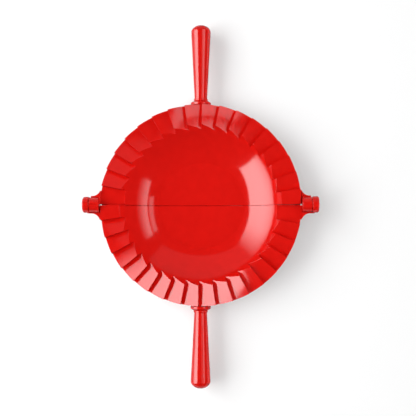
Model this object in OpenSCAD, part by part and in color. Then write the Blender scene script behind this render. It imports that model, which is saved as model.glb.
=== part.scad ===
// Dough press for filled pasties: two half bowls with a pleated rim, hinged along their seam.
// X runs along the hinge, +Y towards the back handle, +Z up. The press lies open on its flat base.
// Heights inside the modules are taken from the hinge axis, which lies in the closing plane.

/* [Bowl] */
// Radius of the rim's outer edge
rim_r = 77.5; // [74:0.5:84]
// Radius of the bowl's edge in the closing plane
bowl_r = 60.8; // [58:0.1:63]
// Depth of the bowl's middle below the closing plane
bowl_depth = 18.2; // [17.2:0.1:21]
// Radius of the shallow floor disc
floor_r = 33.5; // [30:0.5:36]
// How far the floor disc is dished
floor_dish = 0.94; // [0.6:0.02:1.4]
// Radius of the curve of the bowl's side, in section
side_curve_r = 48; // [42:0.5:60]
// Thickness of the bowl's side
wall_t = 2.2; // [1.6:0.1:3]
// Thickness of the floor at its middle
floor_t = 1.8; // [1.4:0.1:3]
// Gap between the two halves along the seam
seam_gap = 0.3; // [0.3:0.05:1]
// How far the seam opens further towards each end, on each half
seam_relief = 0.45; // [0.1:0.05:0.8]
// Length over which the seam opens further
seam_relief_len = 8; // [4:0.5:12]

/* [Pleats] */
// Number of sloping pleats on each half
pleat_count = 16; // [12:1:20]
// Height of a pleat's step at the outer edge
pleat_h = 4.4; // [3:0.1:5]
// Thickness of the pleated rim
rim_t = 2.1; // [1.6:0.1:2.6]
// Thickness of the upright step of a pleat
step_t = 1.8; // [1.4:0.1:2.4]
// Space left between two meshing pleats when the press is shut
mesh_gap = 0.5; // [0.3:0.05:1]
// Space left between two meshing steps when the press is shut
step_gap = 2.4; // [0.4:0.1:3]
// Width of the solid ring between the bowl's edge and the hollows under the pleats
ring_w = 4.2; // [3.6:0.1:6]

/* [Hinge] */
// Diameter of the inner knuckle, on the back half
inner_knuckle_d = 11.3; // [9:0.1:12]
// Length of the inner knuckle
inner_knuckle_len = 7.5; // [6:0.1:12]
// Diameter of the outer knuckle, on the front half
outer_knuckle_d = 12.4; // [10:0.1:13]
// Length of the outer knuckle
outer_knuckle_len = 4.8; // [3:0.1:8]
// Chamfer round the outer knuckle's end
knuckle_chamfer = 0.9; // [0.3:0.1:1.5]
// Gap between the inner knuckle and what is beside it, along the axis
knuckle_gap = 0.25; // [0.2:0.05:0.6]
// Gap between the inner knuckle and the arm that passes under it
cradle_gap = 0.3; // [0.2:0.05:0.6]
// Gap between the rim's edge and what stands above it on the arms
arm_gap = 0.4; // [0.3:0.05:0.8]
// How far the rim's edge is cut back straight beside the hinge
rim_cut = 0.8; // [0.4:0.1:1.2]
// Distance of the arms' upper faces below the hinge axis
arm_drop = 0.15; // [0.1:0.05:0.5]
// Distance of the back arms' outer edge from the hinge axis
back_arm_y = 6.9; // [6.5:0.1:9]
// Distance of the front arms' outer edge from the hinge axis
front_arm_y = 6.6; // [6.3:0.1:9]
// Radius of the curve between a back arm and the rim
back_arm_curve_r = 6.2; // [4:0.1:8]
// Radius of the curve between a front arm and the rim
front_arm_curve_r = 7.2; // [4:0.1:9]
// Distance of a back arm's end from the inner knuckle's outer end
back_arm_short = 0.8; // [0.5:0.1:4]
// Thickness of the arm under the inner knuckle
cradle_t = 2.4; // [1.8:0.1:4]
// Length of the root that runs under the rim from each front arm
arm_root_len = 8; // [4:0.5:11]
// Diameter of the hinge pins
pin_d = 5; // [4:0.1:6]
// Radial clearance of the pins in the inner knuckles
pin_clearance = 0.05; // [0.03:0.01:0.1]
// Diameter of the nib on a pin's outer end
nib_d = 2; // [1:0.1:3]
// Height of the nib
nib_h = 0.5; // [0.2:0.1:1]

/* [Handles] */
// Distance from the hinge axis to the tip of a handle
reach = 140.9; // [125:0.5:170]
// Diameter of the handle at the foot of its domed end
grip_end_d = 15.2; // [12:0.1:17]
// Diameter of the handle at its root
grip_root_d = 9.8; // [8.5:0.1:11]
// Height of the domed end
dome_h = 5.6; // [3:0.1:7]
// Diameter of the collar at the handle's root
collar_d = 10.9; // [10:0.1:12]
// Length of the collar
collar_len = 1.5; // [0.8:0.1:3]
// Thickness of the handle's wall
grip_wall = 2; // [1.6:0.1:2.4]
// Diameter of the spigot at the handle's root
spigot_d = 6; // [4.5:0.1:6.5]
// Length of the spigot
spigot_len = 12; // [8:0.5:14]
// Diameter of the flange on the handle socket
flange_d = 15.6; // [14:0.1:17]
// Thickness of the flange's straight edge
flange_t = 1.8; // [1:0.1:3]
// Length of the cone from the flange to the collar
flange_cone = 1.6; // [0.8:0.1:3]
// Diameter of the handle socket under the rim
socket_d = 11.4; // [10:0.1:11.4]
// Space between the handles when the press is shut
grip_gap = 0.8; // [0.4:0.1:3]
// Depth to which the domed plug enters the handle
plug_len = 8; // [5:0.5:12]
// Length of the handle's solid root, beyond the collar
grip_solid = 4; // [2:0.5:10]

/* [Hidden] */
plastic = "#d91610";
over = 1;

axis_h = bowl_depth + floor_t;
floor_edge = [floor_r, floor_dish - bowl_depth];
floor_curve_r = (floor_r * floor_r + floor_dish * floor_dish) / (2 * floor_dish);

// Centre of the side's curve: it passes through the floor disc's edge and the bowl's edge.
side_chord = [bowl_r, 0] - floor_edge;
side_chord_len = norm(side_chord);
side_rise = sqrt(side_curve_r * side_curve_r - side_chord_len * side_chord_len / 4);
side_centre = floor_edge + side_chord / 2 + side_rise * [-side_chord[1], side_chord[0]] / side_chord_len;

sector = 180 / (pleat_count + 2);
pad_top = (pleat_h - mesh_gap) / 2;
pad_low = -(pleat_h + mesh_gap) / 2;
rim_low = pad_low - rim_t;
pleat_facets = 4;
hollow_in_r = bowl_r + ring_w;

knuckle_in = rim_r + arm_gap;
knuckle_out = knuckle_in + inner_knuckle_len;
cap_in = knuckle_out + knuckle_gap;
cap_out = cap_in + outer_knuckle_len;
cradle_r = inner_knuckle_d / 2 + cradle_gap;

handle_drop = (max(grip_end_d, flange_d) + grip_gap) / 2;
flange_in = rim_r + arm_gap;
flange_out = flange_in + flange_t + flange_cone;
grip_start = flange_out + collar_len;
dome_start = reach - dome_h;
plug_d = grip_end_d - 2 * grip_wall;
dome_steps = 12;

// A point on a pleat's step: the step stands off from the radius at this angle.
function step_point(angle, r, off) = [r * cos(angle) + off * sin(angle), r * sin(angle) - off * cos(angle)];

// Height of a pleat, from its low step (0) to its high step (1). It is the same at every radius.
function pleat_z(share) = pad_low + pleat_h * share;

// The corners of a pleat's section at one angle: inner and outer, on the pleat and at the limit.
function pleat_corners(start, share, shift, limit) =
    let (angle = start + share * sector)
    [for (z = [pleat_z(share) + shift, limit]) for (r = [bowl_r / 2, rim_r * 1.2])
        [r * cos(angle), r * sin(angle), z]];

// Everything in one sector of the rim, from in_r outwards. The high side is cut back by trim.
module sector_block(start, in_r, low, high, trim) {
    end = start + sector;
    far = rim_r * 1.1;
    translate([0, 0, low])
        linear_extrude(height = high - low)
            polygon([step_point(start, in_r, step_gap / 2), step_point(start, far, step_gap / 2),
                     step_point(end, far, step_gap / 2 + trim), step_point(end, in_r, step_gap / 2 + trim)]);
}

// A block from a pleat's face, which winds like a screw thread, up or down to the limit.
module pleat_block(start, shift, limit) {
    last = 4 * (pleat_facets + 2);
    sides = [[0, 1, 5, 4], [1, 3, 7, 5], [3, 2, 6, 7], [2, 0, 4, 6]];
    faces = concat([[0, 2, 3, 1], [last, last + 1, last + 3, last + 2]],
                   [for (i = [0 : pleat_facets + 1]) for (side = sides) for (pick = [[0, 1, 2], [0, 2, 3]])
                       [for (k = pick) side[k] + 4 * i]]);
    polyhedron(points = [for (i = [-1 : pleat_facets + 1])
                            each pleat_corners(start, i / pleat_facets, shift, limit)],
               faces = [for (face = faces) limit < 0 ? [for (k = [len(face) - 1 : -1 : 0]) face[k]] : face]);
}

// What is taken away above one pleat.
module pleat_face(start) {
    intersection() {
        sector_block(start, bowl_r / 2, rim_low, pleat_h, 0);
        pleat_block(start, 0, 2 * pleat_h);
    }
}

// What is taken away below one pleat, so that the rim keeps its thickness.
module pleat_hollow(start) {
    intersection() {
        sector_block(start, hollow_in_r, rim_low - over, pleat_h, step_t);
        pleat_block(start, -rim_t, -3 * pleat_h);
    }
}

// What is taken away above the low flat at the far end of the seam.
module low_flat_face() {
    translate([0, 0, pad_low])
        linear_extrude(height = 2 * pleat_h)
            polygon([step_point(180 - sector, bowl_r / 2, step_gap / 2),
                     step_point(180 - sector, rim_r * 1.1, step_gap / 2),
                     [-rim_r * 1.2, -over], [-bowl_r / 2, -over]]);
}

// What is taken away below the high flat, leaving walls on all sides.
module high_flat_hollow() {
    side_y = seam_gap / 2 + seam_relief + step_t;
    intersection() {
        translate([0, 0, rim_low - over])
            linear_extrude(height = pad_top - rim_t - rim_low + over)
                polygon([[hollow_in_r, side_y], [rim_r, side_y],
                         step_point(sector, rim_r, step_gap / 2 + step_t),
                         step_point(sector, hollow_in_r, step_gap / 2 + step_t)]);
        translate([0, 0, rim_low - 2 * over])
            cylinder(r = rim_r - step_t, h = 3 * pleat_h + 3 * over, $fn = 180);
    }
}

// Section inside a side curve of radius r, from the axis out to the curve.
module side_section(r) {
    translate(side_centre)
        circle(r = r, $fn = 360);
    translate([0, -2 * axis_h])
        square([side_centre[0], 3 * axis_h]);
}

// Section of the space in the bowl.
module bowl_space_section() {
    intersection() {
        side_section(side_curve_r);
        translate([0, floor_curve_r - bowl_depth])
            circle(r = floor_curve_r, $fn = 1440);
        translate([0, -axis_h])
            square([rim_r, axis_h + pleat_h]);
    }
}

// Section of the bowl with its space filled.
module bowl_outer_section() {
    intersection() {
        side_section(side_curve_r + wall_t);
        translate([0, -axis_h])
            square([rim_r, axis_h + rim_low + over]);
    }
}

// Half of the pleated rim, on the +Y side. The high flat is at +X.
module rim() {
    difference() {
        rotate_extrude(angle = 180, $fn = 180)
            translate([bowl_r - wall_t, rim_low])
                square([rim_r - bowl_r + wall_t, pad_top - rim_low]);
        for (i = [1 : pleat_count]) {
            pleat_face(i * sector);
            pleat_hollow(i * sector);
        }
        low_flat_face();
        high_flat_hollow();
    }
}

// Socket for a handle, from the bowl's side out to the flange.
module handle_socket() {
    translate([0, 0, -handle_drop])
        rotate([-90, 0, 0])
            rotate_extrude($fn = 96)
                polygon([[0, bowl_r - wall_t], [socket_d / 2, bowl_r - wall_t], [socket_d / 2, flange_in],
                         [flange_d / 2, flange_in], [flange_d / 2, flange_in + flange_t],
                         [collar_d / 2, flange_out], [0, flange_out]]);
}

module spigot_bore() {
    translate([0, flange_out + over, -handle_drop])
        rotate([90, 0, 0])
            cylinder(d = spigot_d, h = spigot_len + over, $fn = 64);
}

// Wedge by which the seam opens towards one end of the hinge.
module seam_wedge() {
    start = rim_r - seam_relief_len;
    translate([0, 0, rim_low - over])
        linear_extrude(height = 3 * pleat_h + over)
            polygon([[start, 0], [rim_r + over, 0],
                     [rim_r + over, seam_gap / 2 + seam_relief], [start, seam_gap / 2]]);
}

// Straight cut of the rim's edge beside the hinge, as wide as the arm.
module rim_edge_cut(arm_y) {
    translate([rim_r - rim_cut, -over, rim_low - over])
        cube([rim_cut + over, arm_y + over, 3 * pleat_h]);
}

// Bowl, rim and handle socket of one half, on the +Y side. The arms will reach out to arm_y.
module half_shell(arm_y) {
    difference() {
        union() {
            rotate_extrude(angle = 180, $fn = 180)
                bowl_outer_section();
            rim();
            handle_socket();
        }
        rotate_extrude($fn = 180)
            bowl_space_section();
        spigot_bore();
        translate([-rim_r * 1.5, -rim_r, -2 * axis_h])
            cube([rim_r * 3, rim_r + seam_gap / 2, 4 * axis_h]);
        for (side = [0, 1])
            mirror([side, 0, 0]) {
                seam_wedge();
                rim_edge_cut(arm_y);
            }
    }
}

// Outline of an arm from above, at +X and +Y: its outer edge curves into the rim.
module arm_outline(edge_y, end_x, curve_r) {
    start_x = rim_r - arm_root_len;
    start_y = seam_gap / 2 + seam_relief;
    curve_end = 70;
    curve_x = rim_r + curve_r * sin(curve_end);
    translate([start_x, start_y])
        square([end_x - start_x, edge_y - start_y]);
    difference() {
        translate([start_x, start_y])
            square([curve_x - start_x, edge_y + curve_r * (1 - cos(curve_end)) - start_y]);
        translate([curve_x, edge_y + curve_r])
            circle(r = curve_r, $fn = 96);
    }
}

// An arm at +X and +Y. It stands above the low flat's level only outside the rim.
module arm(edge_y, end_x, curve_r) {
    translate([0, 0, rim_low])
        linear_extrude(height = rim_t)
            intersection() {
                arm_outline(edge_y, end_x, curve_r);
                difference() {
                    circle(r = 2 * rim_r, $fn = 180);
                    circle(r = rim_r - step_t, $fn = 180);
                }
            }
    difference() {
        translate([0, 0, rim_low])
            linear_extrude(height = -arm_drop - rim_low)
                arm_outline(edge_y, end_x, curve_r);
        translate([0, 0, rim_low - over])
            cylinder(r = rim_r + arm_gap, h = 3 * pleat_h, $fn = 180);
    }
}

// A round bar on the hinge axis, at +X.
module axis_bar(d, start, end) {
    translate([start, 0, 0])
        rotate([0, 90, 0])
            cylinder(d = d, h = end - start, $fn = 96);
}

module outer_knuckle() {
    radius = outer_knuckle_d / 2;
    rotate([90, 0, 90])
        rotate_extrude($fn = 96)
            polygon([[0, cap_in], [radius, cap_in], [radius, cap_out - knuckle_chamfer],
                     [radius - knuckle_chamfer, cap_out], [0, cap_out]]);
}

// The part of a front arm that passes under the inner knuckle and reaches the outer one.
module cradle() {
    start_y = seam_gap / 2 + seam_relief;
    depth = cradle_r + cradle_t;
    difference() {
        intersection() {
            axis_bar(2 * depth, rim_r - arm_root_len, cap_in + outer_knuckle_len / 3);
            translate([rim_r - arm_root_len, start_y, -depth])
                cube([cap_out - rim_r + arm_root_len, front_arm_y - start_y, depth - arm_drop]);
        }
        translate([0, 0, rim_low + rim_t])
            cylinder(r = rim_r + arm_gap, h = 3 * pleat_h, $fn = 180);
    }
}

// Both ends of the hinge on one half.
module both_ends() {
    for (side = [0, 1])
        mirror([side, 0, 0])
            children();
}

module back_half() {
    color(plastic)
        translate([0, 0, axis_h])
            difference() {
                union() {
                    half_shell(back_arm_y);
                    both_ends() {
                        arm(back_arm_y, knuckle_out - back_arm_short, back_arm_curve_r);
                        axis_bar(inner_knuckle_d, knuckle_in, knuckle_out);
                    }
                }
                both_ends()
                    axis_bar(pin_d + 2 * pin_clearance, rim_r, cap_out);
            }
}

module front_half() {
    color(plastic)
        translate([0, 0, axis_h])
            rotate([0, 0, 180])
                difference() {
                    union() {
                        half_shell(front_arm_y);
                        both_ends()
                            difference() {
                                union() {
                                    arm(front_arm_y, cap_in + knuckle_gap, front_arm_curve_r);
                                    cradle();
                                }
                                axis_bar(2 * cradle_r, knuckle_in - knuckle_gap, cap_in);
                            }
                        both_ends()
                            outer_knuckle();
                    }
                    both_ends()
                        axis_bar(pin_d, knuckle_out, cap_out + over);
                }
}

// A handle along +Y, with its hollow open at the domed end.
module handle() {
    translate([0, 0, axis_h - handle_drop])
        rotate([-90, 0, 0])
            rotate_extrude($fn = 96)
                polygon([[0, flange_out - spigot_len], [spigot_d / 2, flange_out - spigot_len],
                         [spigot_d / 2, flange_out], [collar_d / 2, flange_out],
                         [collar_d / 2, grip_start], [grip_root_d / 2, grip_start],
                         [grip_end_d / 2, dome_start], [plug_d / 2, dome_start],
                         [plug_d / 2, dome_start - plug_len], [grip_root_d / 2 - grip_wall, grip_start + grip_solid],
                         [0, grip_start + grip_solid]]);
}

// The domed plug of a handle along +Y. The dome is half an ellipse in section.
module plug() {
    translate([0, 0, axis_h - handle_drop])
        rotate([-90, 0, 0])
            rotate_extrude($fn = 96)
                polygon(concat([[0, dome_start - plug_len], [plug_d / 2, dome_start - plug_len],
                                [plug_d / 2, dome_start]],
                               [for (i = [0 : dome_steps - 1])
                                   [grip_end_d / 2 * cos(90 * i / dome_steps),
                                    dome_start + dome_h * sin(90 * i / dome_steps)]],
                               [[0, reach]]));
}

module back_handle() {
    color(plastic) handle();
}

module front_handle() {
    color(plastic) rotate([0, 0, 180]) handle();
}

module back_handle_plug() {
    color(plastic) plug();
}

module front_handle_plug() {
    color(plastic) rotate([0, 0, 180]) plug();
}

// A hinge pin at +X, from the inner knuckle's mouth to the outer knuckle's end.
module hinge_pin() {
    translate([0, 0, axis_h]) {
        axis_bar(pin_d, knuckle_in, cap_out);
        axis_bar(nib_d, cap_out - over, cap_out + nib_h);
    }
}

module right_hinge_pin() {
    color(plastic) hinge_pin();
}

module left_hinge_pin() {
    color(plastic) mirror([1, 0, 0]) hinge_pin();
}

front_half();
back_half();
front_handle();
back_handle();
front_handle_plug();
back_handle_plug();
left_hinge_pin();
right_hinge_pin();
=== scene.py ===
from math import asin, atan2, cos, hypot, pi, radians, sin, sqrt, tan

import bmesh
import bpy
from mathutils import Matrix, Vector


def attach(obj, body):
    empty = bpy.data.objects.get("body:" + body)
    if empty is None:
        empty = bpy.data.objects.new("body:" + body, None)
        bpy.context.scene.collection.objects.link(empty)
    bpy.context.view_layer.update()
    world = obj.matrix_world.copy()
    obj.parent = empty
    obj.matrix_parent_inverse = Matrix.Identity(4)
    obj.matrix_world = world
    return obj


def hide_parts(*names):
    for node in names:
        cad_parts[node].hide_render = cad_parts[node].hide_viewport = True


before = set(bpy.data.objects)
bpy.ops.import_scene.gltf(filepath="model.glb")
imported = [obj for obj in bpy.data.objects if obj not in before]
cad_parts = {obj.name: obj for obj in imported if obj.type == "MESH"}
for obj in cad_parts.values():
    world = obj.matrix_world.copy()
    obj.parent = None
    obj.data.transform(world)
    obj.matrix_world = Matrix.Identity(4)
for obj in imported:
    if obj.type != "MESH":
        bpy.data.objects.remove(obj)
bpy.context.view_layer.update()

MM = 0.001
WELD = 0.0008                               # corners closer than this, in millimetres, become one
COPY_WELD, JOIN_WELD = 0.000001, 0.000002   # the same in metres, for copied pleats and joined meshes

# Bowl
AXIS_H = 20.0
RIM_R = 77.5
BOWL_DEPTH = 18.2
FLOOR_R = 33.5
FLOOR_CURVE_R = 597.4202
SIDE_CURVE_R = 48.0
SIDE_X, SIDE_Z = 22.9904, 29.5714           # centre of the side's curve, in section
WALL_T = 2.2
SEAM_Y, SEAM_LOW_Y = 0.15, 0.01             # the seam's face at the top and at the underside
SEAM_OPEN_X = 69.5                          # the seam opens a little further from here outwards
SEAM_OPEN_SLOPE = 0.05
SEAM_RELIEF = 0.45                          # kept free between the seam's face and the pocket's wall
FLOOR_SHARES = (0.986, 0.96, 0.88, 0.75, 0.6, 0.45, 0.3, 0.15, 0.06)
SIDE_START_ROWS, SIDE_ROWS_FROM, SIDE_ROWS = [0.0, 0.35, 0.9], 1.8, 17
OUTSIDE_ROWS = 14

# Pleated rim
PLEATS = 16
SECTOR = 10.0
PLEAT_H = 4.4
HIGH_FLAT, LOW_FLAT = 1.95, -2.45
RIM_LOW = -4.55
RIM_T = 2.1
HOLLOW_WALL_T = 1.8
HOLLOW_R = 65.0
TOP_RADII = [66.0, SEAM_OPEN_X, 73.5, RIM_R]
HOLLOW_RADII = [HOLLOW_R, SEAM_OPEN_X, RIM_R - HOLLOW_WALL_T, RIM_R]
SLOPE_ROWS = 5

# Columns of a pleat, in degrees from the line where it starts. Its step stands before the next line.
STEP_WALL, STEP_CREST, STEP_FOOT = SECTOR - 2.5, SECTOR - 1.1, SECTOR - 0.86
PLEAT_START = STEP_FOOT - SECTOR
PLEAT_ANGLES = [PLEAT_START + (STEP_WALL - PLEAT_START) * k / SLOPE_ROWS for k in range(SLOPE_ROWS + 1)]
PLEAT_ANGLES.append(STEP_CREST)
PLEAT_LOW, *LEVELS = [LOW_FLAT + PLEAT_H * angle / SECTOR for angle in PLEAT_ANGLES]

# Rounding of the halves' edges, and each kind of edge's share of it
EDGE_ROUND = 0.45
SEAM_SHARE, LIP_SHARE, CREST_SHARE, OTHER_SHARE = 0.25, 1.0, 0.6, 0.75
SHARP_EDGE = radians(28)

# Hinge: names in IN, OUT, END and ROOT are places along the axis, from the press's middle
RIM_CUT_X = RIM_R - 0.8
KNUCKLE_IN, KNUCKLE_OUT = 77.9, 85.4
CAP_IN, CAP_OUT = 85.65, 90.45
INNER_KNUCKLE_R, OUTER_KNUCKLE_R, KNUCKLE_CHAMFER = 5.65, 6.2, 0.9
PIN_R, BORE_R = 2.5, 2.55
NIB_R, NIB_END = 1.0, 90.95
BACK_ARM_Y, FRONT_ARM_Y, ARM_INNER_Y = 6.9, 6.6, 0.6
BACK_ARM_END, FRONT_ARM_END = KNUCKLE_OUT - 0.8, CAP_IN + 0.25
BACK_ARM_CURVE_R, FRONT_ARM_CURVE_R, ARM_CURVE_TURN = 6.2, 7.2, 70
ARM_TOP = -0.15
ARM_ROOT_R, ARM_START_R = RIM_R - HOLLOW_WALL_T - 0.05, RIM_R + 0.4
ARM_ROUND = 0.25
CRADLE_R, CRADLE_T = 5.95, 2.4
CRADLE_ROOT, CRADLE_IN, CRADLE_OUT = (78.2, 69.5), KNUCKLE_IN - 0.25, CAP_IN + 1.6

# Handles: names in START, EDGE, OUT and REACH are places along the handle, from the hinge axis
HANDLE_Z = -8.2
SOCKET_START, FLANGE_EDGE, FLANGE_OUT = 59.2, 79.7, 81.3
SPIGOT_START, GRIP_START, PLUG_START = 69.3, 82.8, 127.3
DOME_START, REACH = 135.3, 140.9
HOLLOW_START = GRIP_START + 4
SOCKET_R, FLANGE_R, COLLAR_R, SPIGOT_R = 5.7, 7.8, 5.45, 3.0
GRIP_R, ROOT_R, PLUG_R, HOLLOW_ROOT_R = 7.6, 4.9, 5.6, 2.9
GRIP_ROWS, DOME_ROWS = 8, 18

# Upright lamps that only reflections show: lower corner, facing, width, height and brightness, and
# how it changes across and upward, in stops of (place, share)
EVEN = ((0, 1), (0.01, 1))
GLOSS_PANELS = {
    "left window": (
        (-1.0, 1.0, 0.03), (1, 0, 0), 1.75, 1.38, 7.0,
        ((0, 0.04), (0.1, 0.15), (0.27, 0.42), (0.4, 0.62), (0.555, 0.87), (0.79, 0.95), (1.0, 1.0)),
        ((0, 0.34), (0.075, 0.48), (0.146, 0.64), (0.219, 0.76), (0.295, 0.84), (0.415, 0.96),
         (0.6, 1.0))),
    "right panel": (
        (1.0, -0.45, 0.58), (-1, 0, 0), 1.2, 0.64, 3.5, EVEN,
        ((0, 0.03), (0.09, 0.16), (0.2, 0.34), (0.32, 0.63), (0.455, 0.84), (0.61, 1.0))),
    "right panel's top": ((1.0, -0.1, 1.36), (-1, 0, 0), 0.85, 0.49, 3.5 * 0.57, EVEN, EVEN),
    "back glow": ((0.8, 1.0, 0.0), (0, -1, 0), 2.0, 1.3, 0.25, EVEN, EVEN),
}
# Upright lamps of plain light: lower corner, facing, brightness, and whether they light the floor alone
PLAIN_PANELS = {
    "left light": ((-1.0, 1.0, 0.03), (1, 0, 0), 3.1, False),
    "left light on the floor": ((-1.0, 1.0, 0.35), (1, 0, 0), 6.4, True),
    "right light": ((1.0, -0.9, 0.03), (-1, 0, 0), 2.1, False),
}
PLAIN_WIDTH, PLAIN_TOP = 1.75, 1.41
OVERHEAD_Z = 1.6
FLOOR_FILL = 0.42                           # how far the camera sees the floor's shadows filled


class Polygons:
    """Polygons of one closed solid, given by their corners."""

    def __init__(self):
        self.faces = []

    def add(self, *points):
        self.faces.append([tuple(p) for p in points])

    def grid(self, rows):
        """Quads between neighbouring rows of points."""
        for one, two in zip(rows, rows[1:]):
            for a, b, c, d in zip(one, one[1:], two[1:], two):
                self.add(a, b, c, d)

    def mesh(self, name, place=Matrix.Identity(4)):
        """A welded mesh in metres, with its faces outward."""
        points, faces, index = [], [], {}
        for face in self.faces:
            ids = []
            for p in face:
                key = tuple(round(v, 5) for v in p)
                if key not in index:
                    index[key] = len(points)
                    points.append(key)
                if not ids or ids[-1] != index[key]:
                    ids.append(index[key])
            if ids[0] == ids[-1]:
                ids.pop()
            if len(ids) > 2:
                faces.append(ids)
        made = bpy.data.meshes.new(name)
        made.from_pydata(points, [], faces)
        shape = bmesh.new()
        shape.from_mesh(made)
        bmesh.ops.remove_doubles(shape, verts=shape.verts, dist=WELD)
        bmesh.ops.transform(shape, matrix=Matrix.Scale(MM, 4) @ place, verts=shape.verts)
        bmesh.ops.recalc_face_normals(shape, faces=shape.faces)
        shape.to_mesh(made)
        shape.free()
        return made


class Value:
    """A socket whose sums and products add Math nodes."""

    def __init__(self, nodes, socket):
        self.nodes, self.socket = nodes, socket

    @property
    def node(self):
        return self.socket.node

    def math(self, operation, other):
        return self.nodes.make("ShaderNodeMath", {"operation": operation}, self, other)

    def __add__(self, other):
        return self.math("ADD", other)

    def __mul__(self, other):
        return self.math("MULTIPLY", other)

    __radd__, __rmul__ = __add__, __mul__


class Nodes:
    """Adds nodes to a tree."""

    def __init__(self, tree):
        self.tree = tree

    def make(self, kind, settings=None, *values, **named):
        """A node: its settings first, then its sockets in order or by name. Gives its first output."""
        node = self.tree.nodes.new(kind)
        for name, value in (settings or {}).items():
            if name == "stops":
                for i, (place, colour) in enumerate(value):
                    stop = node.color_ramp.elements[i] if i < 2 else node.color_ramp.elements.new(place)
                    stop.position, stop.color = place, colour
            else:
                setattr(node, name, value)
        pairs = list(zip(node.inputs, values))
        pairs += [(node.inputs[name.replace("_", " ")], value) for name, value in named.items()]
        for socket, value in pairs:
            if isinstance(value, Value):
                value = value.socket
            if isinstance(value, bpy.types.NodeSocket):
                self.tree.links.new(value, socket)
            else:
                socket.default_value = value
        return Value(self, node.outputs[0]) if len(node.outputs) else node


def put(name, data):
    """An object at the origin that shows the mesh, lamp or camera."""
    made = bpy.data.objects.new(name, data)
    bpy.context.scene.collection.objects.link(made)
    return made


def settle(obj):
    """Turns what the modifiers show into the object's own plain mesh."""
    bpy.context.view_layer.update()
    graph = bpy.context.evaluated_depsgraph_get()
    made = bpy.data.meshes.new_from_object(
        obj.evaluated_get(graph), preserve_all_data_layers=True, depsgraph=graph)
    old = obj.data
    obj.modifiers.clear()
    obj.data = made
    made.name = obj.name
    if old.users == 0:
        bpy.data.meshes.remove(old)
    return obj


def combine(obj, other, operation):
    """Joins the other solid to the object, or cuts it away, and removes it."""
    cut = obj.modifiers.new(operation.lower(), "BOOLEAN")
    cut.operation = operation
    cut.solver = "MANIFOLD"
    cut.object = other
    settle(obj)
    bpy.data.objects.remove(other)
    return obj


def smooth(obj):
    """Smooth shading that keeps flat faces flat and sharp corners sharp."""
    for face in obj.data.polygons:
        face.use_smooth = True
    obj.data.set_sharp_from_angle(angle=radians(38))
    even = obj.modifiers.new("even shading", "WEIGHTED_NORMAL")
    even.keep_sharp = True
    even.weight = 50
    return settle(obj)


def half_turn(turned):
    """The turn from the back half's place to the front half's, or none."""
    return Matrix.Rotation(pi, 4, "Z") if turned else Matrix.Identity(4)


# Materials

def new_material(name):
    made = bpy.data.materials.new(name)
    made.use_nodes = True
    made.node_tree.nodes.clear()
    return made, Nodes(made.node_tree)


def red_plastic():
    """Glossy moulded plastic in one strong red, with the faint waves and rubs of a moulded part."""
    made, nodes = new_material("red moulded plastic")
    place = nodes.make("ShaderNodeTexCoord").node.outputs["Object"]
    waves = nodes.make("ShaderNodeTexNoise", None, Vector=place, Scale=38.0, Detail=1.0)
    haze = nodes.make("ShaderNodeTexNoise", None, Vector=place, Scale=160.0, Detail=3.0)
    grain = nodes.make("ShaderNodeTexNoise", None, Vector=place, Scale=2600.0, Detail=2.0)
    tone = nodes.make("ShaderNodeValToRGB", {"stops": [(0.3, (0.63, 0.0063, 0.0038, 1)),
                                                       (0.7, (0.67, 0.0072, 0.0045, 1))]}, haze)
    bump = nodes.make("ShaderNodeBump", None, Strength=0.12, Distance=0.0009,
                      Height=waves + grain * 0.012)
    shader = nodes.make("ShaderNodeBsdfPrincipled", None, Base_Color=tone,
                        Roughness=0.07 + haze * 0.06, IOR=1.55, Normal=bump)
    nodes.make("ShaderNodeOutputMaterial", None, shader)
    return made


def pale_floor():
    """A matt floor, white to the camera, with its shadows filled a little, and greyer to the object."""
    made, nodes = new_material("pale floor")
    ray = Value(nodes, nodes.make("ShaderNodeLightPath").node.outputs["Is Camera Ray"])
    shader = nodes.make("ShaderNodeBsdfPrincipled", None, Base_Color=ray * 0.42 + 0.5,
                        Roughness=0.8, Specular_IOR_Level=0.1)
    white = nodes.make("ShaderNodeEmission", None, Color=(1, 1, 1, 1), Strength=1.0)
    both = nodes.make("ShaderNodeMixShader", None, ray * FLOOR_FILL, shader, white)
    nodes.make("ShaderNodeOutputMaterial", None, both)
    return made


# Bowl and pleated rim

def side_z(r):
    """Height of the bowl's side at a radius."""
    return SIDE_Z - sqrt(SIDE_CURVE_R ** 2 - (r - SIDE_X) ** 2)


def side_r(z, grow=0.0):
    """Radius of the bowl's side at a height, or of its outer side."""
    return SIDE_X + sqrt((SIDE_CURVE_R + grow) ** 2 - (SIDE_Z - z) ** 2)


def floor_z(r):
    return FLOOR_CURVE_R - sqrt(FLOOR_CURVE_R ** 2 - r * r) - BOWL_DEPTH


def side_heights():
    """Heights of the rows of the bowl's side, from the floor's edge up to the pleats' foot."""
    start = atan2(side_z(FLOOR_R) - SIDE_Z, FLOOR_R - SIDE_X)
    end = atan2(PLEAT_LOW - SIDE_Z, side_r(PLEAT_LOW) - SIDE_X)
    rest = (end - start) * SIDE_CURVE_R - SIDE_ROWS_FROM
    rows = SIDE_START_ROWS + [SIDE_ROWS_FROM + rest * i / SIDE_ROWS for i in range(SIDE_ROWS + 1)]
    return [SIDE_Z + SIDE_CURVE_R * sin(start + s / SIDE_CURVE_R) for s in rows]


def outside_heights():
    """Heights of the rows of the bowl's outer side, from the base up to the rim's underside."""
    r = SIDE_CURVE_R + WALL_T
    start = atan2(-AXIS_H - SIDE_Z, side_r(-AXIS_H, WALL_T) - SIDE_X)
    end = atan2(RIM_LOW - SIDE_Z, side_r(RIM_LOW, WALL_T) - SIDE_X)
    return [SIDE_Z + r * sin(start + (end - start) * i / OUTSIDE_ROWS) for i in range(OUTSIDE_ROWS + 1)]


def polar(r, angle):
    return r * cos(angle), r * sin(angle)


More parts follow.
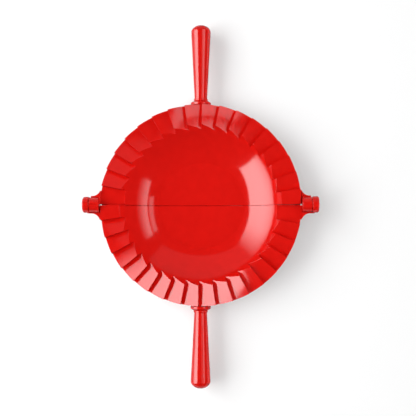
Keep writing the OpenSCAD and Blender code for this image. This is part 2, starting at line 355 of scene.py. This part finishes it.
def seam_angle(r):
    """Angle at which the upper edge of the seam's face crosses a circle, at +X."""
    y = SEAM_Y + SEAM_OPEN_SLOPE * max(0.0, r - SEAM_OPEN_X)
    return asin(y / r)


def far_seam_angle(r):
    """The same at -X."""
    return pi - seam_angle(r)


def pocket_angle(r):
    """Angle of the side nearest the seam of the pocket below the high flat."""
    return asin((SEAM_Y + SEAM_RELIEF + HOLLOW_WALL_T) / r)


def fixed(degrees):
    return lambda r: radians(degrees)


def angles_between(first, last, share):
    return lambda r: first(r) + (last(r) - first(r)) * share


class Sector:
    """One sector of a half: its columns run from the floor's edge to the rim, and round below."""

    def __init__(self, columns, heights, hollow=(), pocket_end=RIM_R, seam=None):
        self.columns = columns          # angle of each column at a radius
        self.heights = heights          # height of the rim's face on each column
        self.hollow = hollow            # gaps between columns that are hollow below
        self.pocket_end = pocket_end    # radius at which the hollow ends
        self.seam = seam                # the column on the seam

    def point(self, k, r, z, under=False):
        """A point on a column. On the seam, the underside reaches almost to the other half."""
        angle = self.columns[k](r)
        if under and k == self.seam:
            low = asin(SEAM_LOW_Y / r)
            angle = low if angle < 1 else pi - low
        return (*polar(r, angle), z)

    def ceiling(self, k):
        """Height of the hollow's ceiling on a column."""
        return max(RIM_LOW, self.heights[k] - RIM_T)

    def face_radii(self, k):
        """Radii of the upper face's rows on a column."""
        return [side_r(self.heights[k])] + TOP_RADII

    def stack(self, k):
        """Heights of the rows of the bowl's side from the pleats' foot up to the rim's face."""
        top = self.heights[k]
        if top <= PLEAT_LOW:
            return [PLEAT_LOW]
        return [PLEAT_LOW] + [z for z in LEVELS if z < top - 0.01] + [top]


def pleat_sector(start):
    """A pleat: it rises evenly from its foot, and ends in an upright step down to the next one."""
    columns = [fixed(start + angle) for angle in PLEAT_ANGLES + [STEP_FOOT]]
    return Sector(columns, [PLEAT_LOW] + LEVELS + [PLEAT_LOW], range(SLOPE_ROWS))


def high_flat_sector():
    """The high flat beside the seam, at +X, with a pocket below it, and the step at its end."""
    columns = [seam_angle, angles_between(seam_angle, pocket_angle, 0.5)]
    columns += [angles_between(pocket_angle, fixed(STEP_WALL), k / 3) for k in range(4)]
    columns += [fixed(STEP_CREST), fixed(STEP_FOOT)]
    return Sector(columns, [HIGH_FLAT] * 7 + [PLEAT_LOW], (2, 3, 4), RIM_R - HOLLOW_WALL_T, 0)


def low_flat_sector():
    """The low flat beside the seam, at -X."""
    first = fixed(180 - SECTOR + PLEAT_START)
    columns = [angles_between(first, far_seam_angle, k / 5) for k in range(6)]
    return Sector(columns, [PLEAT_LOW] + [LOW_FLAT] * 5, seam=5)


def add_side(shape, sector):
    """The bowl's side below the sector's face. Above the pleats' foot, each column has its own height."""
    columns = range(len(sector.columns))
    shape.grid([[sector.point(k, side_r(z), z) for k in columns] for z in side_heights()])
    stacks = [[sector.point(k, side_r(z), z) for z in sector.stack(k)] for k in columns]
    for one, two in zip(stacks, stacks[1:]):
        low = min(len(one), len(two)) - 1
        for j in range(low):
            shape.add(one[j], two[j], two[j + 1], one[j + 1])
        for j in range(low, len(one) - 1):
            shape.add(one[j], two[low], one[j + 1])
        for j in range(low, len(two) - 1):
            shape.add(one[low], two[j], two[j + 1])


def add_face(shape, sector):
    """The sector's upper face, from the bowl's side to the rim's outer edge."""
    shape.grid([[sector.point(k, r, sector.heights[k]) for r in sector.face_radii(k)]
                for k in range(len(sector.columns))])


def add_underside(shape, sector):
    """The rim's underside with its hollow, and the bowl's outer side down to the base."""
    columns = range(len(sector.columns))
    shape.grid([[sector.point(k, side_r(z, WALL_T), z, True) for k in columns] for z in outside_heights()])
    radii = [side_r(RIM_LOW, WALL_T)] + HOLLOW_RADII
    for gap in columns[:-1]:
        for inner, outer in zip(radii, radii[1:]):
            hollow = gap in sector.hollow and inner >= HOLLOW_R and outer <= sector.pocket_end
            one, two = [sector.ceiling(k) if hollow else RIM_LOW for k in (gap, gap + 1)]
            shape.add(sector.point(gap, inner, one, True), sector.point(gap + 1, inner, two, True),
                      sector.point(gap + 1, outer, two, True), sector.point(gap, outer, one, True))
            if hollow:
                add_hollow_walls(shape, sector, gap, inner, outer)


def add_hollow_walls(shape, sector, gap, inner, outer):
    """The hollow's upright walls, where it ends in this gap between columns."""
    for r, edge in ((inner, HOLLOW_R), (outer, sector.pocket_end)):
        if r == edge and r < RIM_R:
            add_wall(shape, sector, (gap, r), (gap + 1, r))
    for k, beside in ((gap, gap - 1), (gap + 1, gap + 1)):
        if beside not in sector.hollow and sector.ceiling(k) > RIM_LOW:
            add_wall(shape, sector, (k, inner), (k, outer))


def add_wall(shape, sector, one, two):
    """A wall from the hollow's ceiling to the rim's underside, between two (column, radius) places."""
    shape.add(*[sector.point(k, r, sector.ceiling(k)) for k, r in (one, two)],
              *[sector.point(k, r, RIM_LOW) for k, r in (two, one)])


def add_outer_edge(shape, sector):
    """The rim's outer edge, between the upper face and the underside."""
    open_below = sector.hollow if sector.pocket_end == RIM_R else ()
    for gap in range(len(sector.columns) - 1):
        low = [sector.ceiling(k) if gap in open_below else RIM_LOW for k in (gap, gap + 1)]
        corners = [sector.point(gap + 1, RIM_R, sector.heights[gap + 1]),
                   sector.point(gap + 1, RIM_R, low[1], True), sector.point(gap, RIM_R, low[0], True)]
        if gap not in open_below and gap - 1 in open_below:
            corners.append(sector.point(gap, RIM_R, sector.ceiling(gap)))
        shape.add(*corners, sector.point(gap, RIM_R, sector.heights[gap]))


def add_sector(shape, sector):
    """All faces of one sector."""
    add_side(shape, sector)
    add_face(shape, sector)
    add_underside(shape, sector)
    add_outer_edge(shape, sector)


def points_round(flats, r, z, under=False):
    """All columns' points round the half, at one radius and height."""
    high_flat, low_flat = flats
    points = [high_flat.point(0, r, z, under)]
    for sector in [high_flat] + [pleat_sector(i * SECTOR) for i in range(1, PLEATS + 1)] + [low_flat]:
        points += [sector.point(k, r, z, under) for k in range(1, len(sector.columns))]
    return points


def add_floor(shape, flats):
    """The shallow floor disc, in rows towards a point on the seam, and the flat base."""
    rows = [points_round(flats, FLOOR_R, side_z(FLOOR_R))]
    for share in FLOOR_SHARES:
        inward = [(x * share, y * share + SEAM_Y * (1 - share)) for x, y, _ in rows[0]]
        rows.append([(x, y, floor_z(hypot(x, y))) for x, y in inward])
    shape.grid(rows)
    pole = (0.0, SEAM_Y, floor_z(SEAM_Y))
    for a, b in zip(rows[-1], rows[-1][1:]):
        shape.add(a, b, pole)
    shape.add(*points_round(flats, side_r(-AXIS_H, WALL_T), -AXIS_H, True))
    return rows, pole


def add_seam_face(shape, flats, floor_rows, pole):
    """The face along the seam: a long middle part, and an end at each side where the seam opens.

    All of it leans towards the other half at the underside.
    """
    profiles = []
    for sector in flats:
        k = sector.seam
        levels = side_heights()[1:] + sector.stack(k)[1:]
        top = [sector.point(k, side_r(z), z) for z in levels]
        top += [sector.point(k, r, sector.heights[k]) for r in TOP_RADII]
        under = [sector.point(k, r, RIM_LOW, True) for r in HOLLOW_RADII[::-1]]
        outside = [sector.point(k, side_r(z, WALL_T), z, True) for z in outside_heights()[::-1]]
        shape.add(*[p for p in top + under if abs(p[0]) > SEAM_OPEN_X - 0.1])
        profiles.append([[p for p in part if abs(p[0]) < SEAM_OPEN_X + 0.01]
                         for part in (top, under + outside)])
    (top_right, low_right), (top_left, low_left) = profiles
    inner_right = [row[0] for row in floor_rows[::-1]]
    inner_left = [row[-1] for row in floor_rows]
    shape.add(*(top_left[::-1] + inner_left + [pole] + inner_right + top_right + low_right
                + low_left[::-1]))


def rim_ends():
    """What a half has beside its pleats: both flats, the bowl's floor, the base and the seam's face."""
    shape = Polygons()
    flats = high_flat_sector(), low_flat_sector()
    for flat in flats:
        add_sector(shape, flat)
    floor_rows, pole = add_floor(shape, flats)
    add_seam_face(shape, flats, floor_rows, pole)
    return shape.mesh("ends of the rim")


def repeat_tree():
    """Geometry Nodes tree that sets one pleat round the press's middle and welds the copies."""
    tree = bpy.data.node_groups.new("pleats round the rim", "GeometryNodeTree")
    inputs = (("Pleat", "Geometry"), ("Pleats", "Int"), ("First turn", "Float"), ("Turn", "Float"),
              ("Weld distance", "Float"), ("Plastic", "Material"))
    for name, kind in inputs:
        tree.interface.new_socket(name, in_out="INPUT", socket_type="NodeSocket" + kind)
    tree.interface.new_socket("Rim", in_out="OUTPUT", socket_type="NodeSocketGeometry")
    nodes = Nodes(tree)
    given = nodes.make("NodeGroupInput").node.outputs
    turn = nodes.make("GeometryNodeInputIndex") * Value(nodes, given["Turn"])
    turn = turn + Value(nodes, given["First turn"])
    rotation = nodes.make("ShaderNodeCombineXYZ", Z=turn)
    points = nodes.make("GeometryNodePoints", Count=given["Pleats"])
    copies = nodes.make("GeometryNodeInstanceOnPoints", Points=points, Instance=given["Pleat"],
                        Rotation=rotation)
    real = nodes.make("GeometryNodeRealizeInstances", Geometry=copies)
    welded = nodes.make("GeometryNodeMergeByDistance", Geometry=real,
                        Distance=given["Weld distance"])
    finished = nodes.make("GeometryNodeSetMaterial", Geometry=welded, Material=given["Plastic"])
    nodes.make("NodeGroupOutput", Rim=finished)
    return tree


def pleat_ring(name):
    """All pleats of a half: one pleat, repeated."""
    pleat = Polygons()
    add_sector(pleat, pleat_sector(0.0))
    ring = put(name, pleat.mesh("one pleat"))
    repeat = ring.modifiers.new("pleats round the rim", "NODES")
    repeat.node_group = repeat_tree()
    values = {"Pleats": PLEATS, "First turn": radians(SECTOR), "Turn": radians(SECTOR),
              "Weld distance": COPY_WELD, "Plastic": plastic}
    for item in repeat.node_group.interface.items_tree:
        if item.name in values:
            repeat[item.identifier] = values[item.name]
    return settle(ring)


def cut_rim_edge(shape, arm_y):
    """Moves the rim's outer edge to a straight line beside the hinge."""
    for corner in shape.verts:
        x, y, _ = corner.co / MM
        if abs(x) > RIM_CUT_X and y < arm_y:
            corner.co.x = RIM_CUT_X * MM if x > 0 else -RIM_CUT_X * MM


def edge_share(edge):
    """An edge's share of the rounding: least along the seam, most on the lip at the bowl's edge."""
    one, two = [corner.co / MM for corner in edge.verts]
    near_seam = max(abs(one.y), abs(two.y)) < 0.8
    facing_up = max(face.normal.z for face in edge.link_faces) > 0.85
    on_lip = all(p.z > PLEAT_LOW - 0.01 and abs(hypot(p.x, p.y) - side_r(p.z)) < 0.03
                 for p in (one, two))
    along = (two - one).normalized()
    radial = abs(along.x * one.x + along.y * one.y) > 0.9 * hypot(one.x, one.y)
    if near_seam:
        return SEAM_SHARE
    if facing_up and on_lip:
        return LIP_SHARE
    return CREST_SHARE if facing_up and radial and edge.is_convex else OTHER_SHARE


def mark_edges(shape):
    """Gives every sharp edge its share of the rounding."""
    weight = shape.edges.layers.float.new("bevel_weight_edge")
    for edge in shape.edges:
        if len(edge.link_faces) == 2 and edge.calc_face_angle() > SHARP_EDGE:
            edge[weight] = edge_share(edge)


def pleated_half(name, turned):
    """Bowl and rim of one half, with rounded edges."""
    rim = pleat_ring(name)
    whole = bmesh.new()
    whole.from_mesh(rim.data)
    whole.from_mesh(rim_ends())
    bmesh.ops.remove_doubles(whole, verts=whole.verts, dist=JOIN_WELD)
    bmesh.ops.recalc_face_normals(whole, faces=whole.faces)
    cut_rim_edge(whole, FRONT_ARM_Y if turned else BACK_ARM_Y)
    mark_edges(whole)
    place = Matrix.Translation((0, 0, AXIS_H * MM)) @ half_turn(turned)
    bmesh.ops.transform(whole, matrix=place, verts=whole.verts)
    whole.to_mesh(rim.data)
    whole.free()
    bevel = rim.modifiers.new("rounded edges", "BEVEL")
    bevel.width = EDGE_ROUND * MM
    bevel.segments = 4
    bevel.limit_method = "WEIGHT"
    bevel.miter_outer = "MITER_ARC"
    return settle(rim)


# Turned pieces

def rounded(points, steps=4):
    """A profile of (radius, place, rounding) points with its corners rounded, but for its two ends."""
    made = []
    for i, p in enumerate(points):
        here = Vector(p[:2])
        if i in (0, len(points) - 1) or p[2] == 0:
            made.append(tuple(here))
            continue
        one, two = Vector(points[i - 1][:2]) - here, Vector(points[i + 1][:2]) - here
        bend = one.angle(two)
        reach = min(p[2] / tan(bend / 2), one.length * 0.49, two.length * 0.49)
        size = reach * tan(bend / 2)
        start, end = here + one.normalized() * reach, here + two.normalized() * reach
        middle = here + (one.normalized() + two.normalized()).normalized() * (size / sin(bend / 2))
        a, b = start - middle, end - middle
        first = atan2(a.y, a.x)
        swing = (atan2(b.y, b.x) - first + pi) % (2 * pi) - pi
        for j in range(steps + 1):
            angle = first + swing * j / steps
            made.append((middle.x + size * cos(angle), middle.y + size * sin(angle)))
    return made


def turned_piece(name, profile, place, steps=96):
    """A closed solid of revolution about +Y from (radius, place) points; its ends lie on the axis."""
    shape = Polygons()
    angles = [2 * pi * (i % steps) / steps for i in range(steps + 1)]
    shape.grid([[(r * sin(angle), y, r * cos(angle)) for r, y in profile] for angle in angles])
    return put(name, shape.mesh(name, place))


def hinge_place(side):
    """Lays a solid made along +Y on the hinge axis, at +X or -X."""
    return Matrix.Translation((0, 0, AXIS_H)) @ Matrix.Rotation(-side * pi / 2, 4, "Z")


def handle_place(turned):
    """Lays a solid made along +Y on the handle's axis."""
    return half_turn(turned) @ Matrix.Translation((0, 0, AXIS_H + HANDLE_Z))


def rod(radius, start, end, place):
    """A plain cylinder, for holes."""
    return turned_piece("rod", [(0, start), (radius, start), (radius, end), (0, end)], place)


def inner_knuckle(side):
    r = INNER_KNUCKLE_R
    points = [(0, KNUCKLE_IN), (r, KNUCKLE_IN, 0.25), (r, KNUCKLE_OUT, 0.25), (0, KNUCKLE_OUT)]
    return turned_piece("knuckle", rounded(points), hinge_place(side))


def outer_knuckle(side):
    """The outer knuckle, with a chamfer round its end."""
    r = OUTER_KNUCKLE_R
    points = [(0, CAP_IN), (r, CAP_IN, 0.25), (r, CAP_OUT - KNUCKLE_CHAMFER, 0.3),
              (r - KNUCKLE_CHAMFER, CAP_OUT, 0.3), (0, CAP_OUT)]
    return turned_piece("knuckle", rounded(points), hinge_place(side))


def handle_socket(turned):
    """The socket for a handle, with its flange outside the rim."""
    points = [(0, SOCKET_START), (SOCKET_R, SOCKET_START, 0.3), (SOCKET_R, ARM_START_R, 0.2),
              (FLANGE_R, ARM_START_R, 0.35), (FLANGE_R, FLANGE_EDGE, 0.5), (COLLAR_R, FLANGE_OUT, 0.3),
              (0, FLANGE_OUT)]
    return turned_piece("socket", rounded(points), handle_place(turned))


def handle(name, turned):
    """A tapering handle, hollow from its far end."""
    points = [(0, SPIGOT_START), (SPIGOT_R, SPIGOT_START, 0.2), (SPIGOT_R, FLANGE_OUT, 0),
              (COLLAR_R, FLANGE_OUT, 0.35), (COLLAR_R, GRIP_START, 0.35), (ROOT_R, GRIP_START, 0.1)]
    points += [(ROOT_R + (GRIP_R - ROOT_R) * i / GRIP_ROWS,
                GRIP_START + (DOME_START - GRIP_START) * i / GRIP_ROWS, 0) for i in range(1, GRIP_ROWS)]
    points += [(GRIP_R, DOME_START, 0.1), (PLUG_R, DOME_START, 0), (PLUG_R, PLUG_START, 0),
               (HOLLOW_ROOT_R, HOLLOW_START, 0), (0, HOLLOW_START)]
    return smooth(turned_piece(name, rounded(points), handle_place(turned)))


def plug(name, turned):
    """The domed plug in a handle's far end: half an ellipse in section."""
    points = [(0, PLUG_START), (PLUG_R, PLUG_START, 0.2), (PLUG_R, DOME_START, 0),
              (GRIP_R - 0.1, DOME_START, 0)]
    for angle in [pi / 2 * i / DOME_ROWS for i in range(1, DOME_ROWS)]:
        points.append((GRIP_R * cos(angle), DOME_START + (REACH - DOME_START) * sin(angle), 0))
    points.append((0, REACH))
    return smooth(turned_piece(name, rounded(points), handle_place(turned)))


def pin(name, side):
    """A hinge pin with the small nib on its outer end."""
    points = [(0, KNUCKLE_IN), (PIN_R, KNUCKLE_IN, 0.3), (PIN_R, CAP_OUT, 0.25),
              (NIB_R, CAP_OUT, 0.1), (NIB_R, NIB_END, 0.2), (0, NIB_END)]
    return smooth(turned_piece(name, rounded(points), hinge_place(side), 64))


# Hinge arms. Their side is +1 or -1 along X before the front half is turned round.

def prism(one, two, turned):
    """A closed prism between two outlines with matching corners."""
    shape = Polygons()
    shape.add(*one)
    shape.add(*two[::-1])
    for i in range(len(one)):
        j = (i + 1) % len(one)
        shape.add(two[i], two[j], one[j], one[i])
    return put("prism", shape.mesh("prism", Matrix.Translation((0, 0, AXIS_H)) @ half_turn(turned)))


def arm_outline(start_r, edge_y, end_x, curve_r):
    """Outline of an arm from above, outside a radius: its outer edge curves into the rim."""
    top_y = edge_y + curve_r * (1 - cos(radians(ARM_CURVE_TURN)))
    curve_x = RIM_R + curve_r * sin(radians(ARM_CURVE_TURN))
    low, high = asin(ARM_INNER_Y / start_r), asin(top_y / start_r)
    arc = [polar(start_r, high + (low - high) * i / 8) for i in range(9)]
    curve = [(curve_x - curve_r * sin(radians(a)), edge_y + curve_r * (1 - cos(radians(a))))
             for a in [ARM_CURVE_TURN * i / 12 for i in range(13)]]
    return arc + [(end_x, ARM_INNER_Y), (end_x, edge_y)] + curve


def arm(edge_y, end_x, curve_r, side, turned):
    """A hinge arm: as thick as the rim where it joins it, and thicker outside."""
    parts = []
    for start_r, top in ((ARM_ROOT_R, RIM_LOW + RIM_T), (ARM_START_R, ARM_TOP)):
        outline = arm_outline(start_r, edge_y, end_x, curve_r)
        parts.append(prism(*[[(side * x, y, z) for x, y in outline] for z in (top, RIM_LOW)], turned))
    return combine(*parts, "UNION")


def cradle(side):
    """The part of a front arm that passes under the inner knuckle."""
    depth, width = CRADLE_R + CRADLE_T, FRONT_ARM_Y - ARM_INNER_Y
    low = [(y, -sqrt(depth ** 2 - y * y)) for y in [FRONT_ARM_Y - width * i / 10 for i in range(11)]]
    parts = []
    for ends, top in ((CRADLE_ROOT, RIM_LOW + RIM_T), ((CRADLE_OUT, ARM_START_R), ARM_TOP)):
        section = [(ARM_INNER_Y, top), (FRONT_ARM_Y, top)] + low
        parts.append(prism(*[[(side * x, y, z) for y, z in section] for x in ends], True))
    return combine(*parts, "UNION")


def soften(obj):
    """Rounds an arm's sharp edges."""
    bevel = obj.modifiers.new("rounded edges", "BEVEL")
    bevel.width = ARM_ROUND * MM
    bevel.segments = 3
    bevel.limit_method = "ANGLE"
    bevel.angle_limit = radians(30)
    bevel.use_clamp_overlap = True
    return settle(obj)


def add_back_arm(made, side):
    """Joins an arm of the back half, with the inner knuckle and the hole in which the pin turns."""
    back = soften(arm(BACK_ARM_Y, BACK_ARM_END, BACK_ARM_CURVE_R, side, False))
    combine(made, back, "UNION")
    combine(made, inner_knuckle(side), "UNION")
    combine(made, rod(BORE_R, RIM_R + 0.1, CAP_OUT, hinge_place(side)), "DIFFERENCE")


def add_front_arm(made, side):
    """Joins an arm of the front half, with its cradle, the outer knuckle and the pin's hole."""
    front = arm(FRONT_ARM_Y, FRONT_ARM_END, FRONT_ARM_CURVE_R, side, True)
    combine(front, cradle(side), "UNION")
    combine(front, rod(CRADLE_R, CRADLE_IN, CAP_IN, hinge_place(-side)), "DIFFERENCE")
    combine(made, soften(front), "UNION")
    combine(made, outer_knuckle(-side), "UNION")
    combine(made, rod(PIN_R, KNUCKLE_OUT, CAP_OUT + 1, hinge_place(-side)), "DIFFERENCE")


def half(name, turned):
    """One half of the press with its socket and its hinge ends."""
    made = pleated_half(name, turned)
    combine(made, handle_socket(turned), "UNION")
    for side in (1, -1):
        if turned:
            add_front_arm(made, side)
        else:
            add_back_arm(made, side)
    combine(made, rod(SPIGOT_R, SPIGOT_START, FLANGE_OUT + 1, handle_place(turned)), "DIFFERENCE")
    return smooth(made)


def finish_piece(piece, body, *nodes):
    """Red plastic for a piece that rides on a body in place of its CAD node."""
    piece.data.materials.clear()
    piece.data.materials.append(plastic)
    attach(piece, body)
    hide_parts(*nodes)
    return piece


# Camera, lights and floor

def make_camera():
    """Camera over the press, a little to the right, as in the photograph."""
    data = bpy.data.cameras.new("camera")
    data.lens, data.sensor_width = 71.4, 36.0
    data.clip_start, data.clip_end = 0.01, 50
    camera = put("camera", data)
    eye, aim = Vector((0.03985, -0.0311, 0.650)), Vector((0.00605, -0.00259, 0.020))
    forward = (aim - eye).normalized()
    right = forward.cross(Vector((-0.0006, 1, 0))).normalized()
    up = right.cross(forward)
    camera.matrix_world = Matrix.Translation(eye) @ Matrix((right, up, -forward)).transposed().to_4x4()
    bpy.context.scene.camera = camera


def set_glow(data, *ways):
    """Makes a lamp's brightness change by the stops, each way of (output, stops, size in metres)."""
    data.use_nodes = True
    data.node_tree.nodes.clear()
    nodes = Nodes(data.node_tree)
    place = nodes.make("ShaderNodeNewGeometry").node.outputs["Parametric"]
    split = nodes.make("ShaderNodeSeparateXYZ", None, place).node
    glow = 1.0
    for output, stops, size in ways:
        shades = [(p / size, (share, share, share, 1)) for p, share in stops]
        glow = nodes.make("ShaderNodeValToRGB", {"stops": shades}, split.outputs[output]) * glow
    shader = nodes.make("ShaderNodeEmission", None, Color=(1, 1, 1, 1), Strength=glow)
    nodes.make("ShaderNodeOutputLight", None, shader)


def make_panel(name, start, facing, width, height, strength, across=EVEN, upward=EVEN, gloss=True):
    """An upright rectangular lamp from its lower corner at the start.

    It shows either in reflections or as plain light, so that each is set by itself.
    """
    data = bpy.data.lights.new(name, "AREA")
    data.shape = "RECTANGLE"
    data.size, data.size_y = width, height
    data.energy = strength * width * height * pi
    set_glow(data, ("X", across, width), ("Y", upward, height))
    lamp = put(name, data)
    back, up = -Vector(facing), Vector((0, 0, 1))
    right = up.cross(back)
    middle = Vector(start) + right * width / 2 + up * height / 2
    lamp.matrix_world = Matrix.Translation(middle) @ Matrix((right, up, back)).transposed().to_4x4()
    lamp.visible_diffuse, lamp.visible_glossy = not gloss, gloss
    data.cycles.use_multiple_importance_sampling = gloss
    return lamp


def make_overhead(name, x, y, width, depth, strength, gloss=True):
    """A lamp that faces down from above the press."""
    lamp = make_panel(name, (0, 0, 0), (0, -1, 0), width, depth, strength, gloss=gloss)
    lamp.matrix_world = Matrix.Translation((x, y, OVERHEAD_Z))
    return lamp


def split_light(lamp, things, on_them):
    """Lets the lamp light either these things alone or everything but them."""
    group = bpy.data.collections.new(lamp.name)
    for thing in things:
        group.objects.link(thing)
    for entry in group.collection_objects:
        entry.light_linking.link_state = "INCLUDE" if on_them else "EXCLUDE"
    lamp.light_linking.receiver_collection = group


def make_lights(floor, handles):
    """What the gloss shows: a tall window at the left, a weaker panel at the right, a glow behind.

    The plain light is softer: the same window, a fill at the right, and most of it from above.
    """
    for name, values in GLOSS_PANELS.items():
        make_panel(name, *values)
    split_light(make_overhead("strip above for the handles", 0.66, 0.2, 0.26, 1.1, 1.5), handles, True)
    for name, (start, facing, strength, on_floor) in PLAIN_PANELS.items():
        height = PLAIN_TOP - start[2]
        lamp = make_panel(name, start, facing, PLAIN_WIDTH, height, strength, gloss=False)
        split_light(lamp, [floor], on_floor)
    make_overhead("light above", 0, 0, 2.4, 2.4, 1.0, gloss=False)


def make_world():
    """A pale surround to the camera, and almost no light on the object."""
    world = bpy.data.worlds.new("studio")
    bpy.context.scene.world = world
    world.use_nodes = True
    world.node_tree.nodes.clear()
    nodes = Nodes(world.node_tree)
    ray = nodes.make("ShaderNodeLightPath").node.outputs["Is Camera Ray"]
    seen = nodes.make("ShaderNodeBackground", None, Color=(0.93, 0.93, 0.94, 1), Strength=1.0)
    lit = nodes.make("ShaderNodeBackground", None, Color=(1, 1, 1, 1), Strength=0.03)
    both = nodes.make("ShaderNodeMixShader", None, ray, lit, seen)
    nodes.make("ShaderNodeOutputWorld", None, both)


def make_floor():
    shape = bpy.data.meshes.new("floor")
    shape.from_pydata([(-4, -4, 0), (4, -4, 0), (4, 4, 0), (-4, 4, 0)], [], [(0, 1, 2, 3)])
    floor = put("floor", shape)
    floor.data.materials.append(pale_floor())
    return floor


for spare in ("Cube", "Light", "Camera"):
    if spare in bpy.data.objects:
        bpy.data.objects.remove(bpy.data.objects[spare])
bpy.context.scene.view_settings.view_transform = "Standard"
plastic = red_plastic()
make_camera()
finish_piece(half("back_shell", False), "back", "back_half")
finish_piece(half("front_shell", True), "front", "front_half")
grips = [finish_piece(handle("back_grip", False), "back", "back_handle"),
         finish_piece(handle("front_grip", True), "front", "front_handle"),
         finish_piece(plug("back_grip_end", False), "back", "back_handle_plug"),
         finish_piece(plug("front_grip_end", True), "front", "front_handle_plug")]
finish_piece(pin("left_pin", -1), "front", "left_hinge_pin")
finish_piece(pin("right_pin", 1), "front", "right_hinge_pin")
make_lights(make_floor(), grips)
make_world()
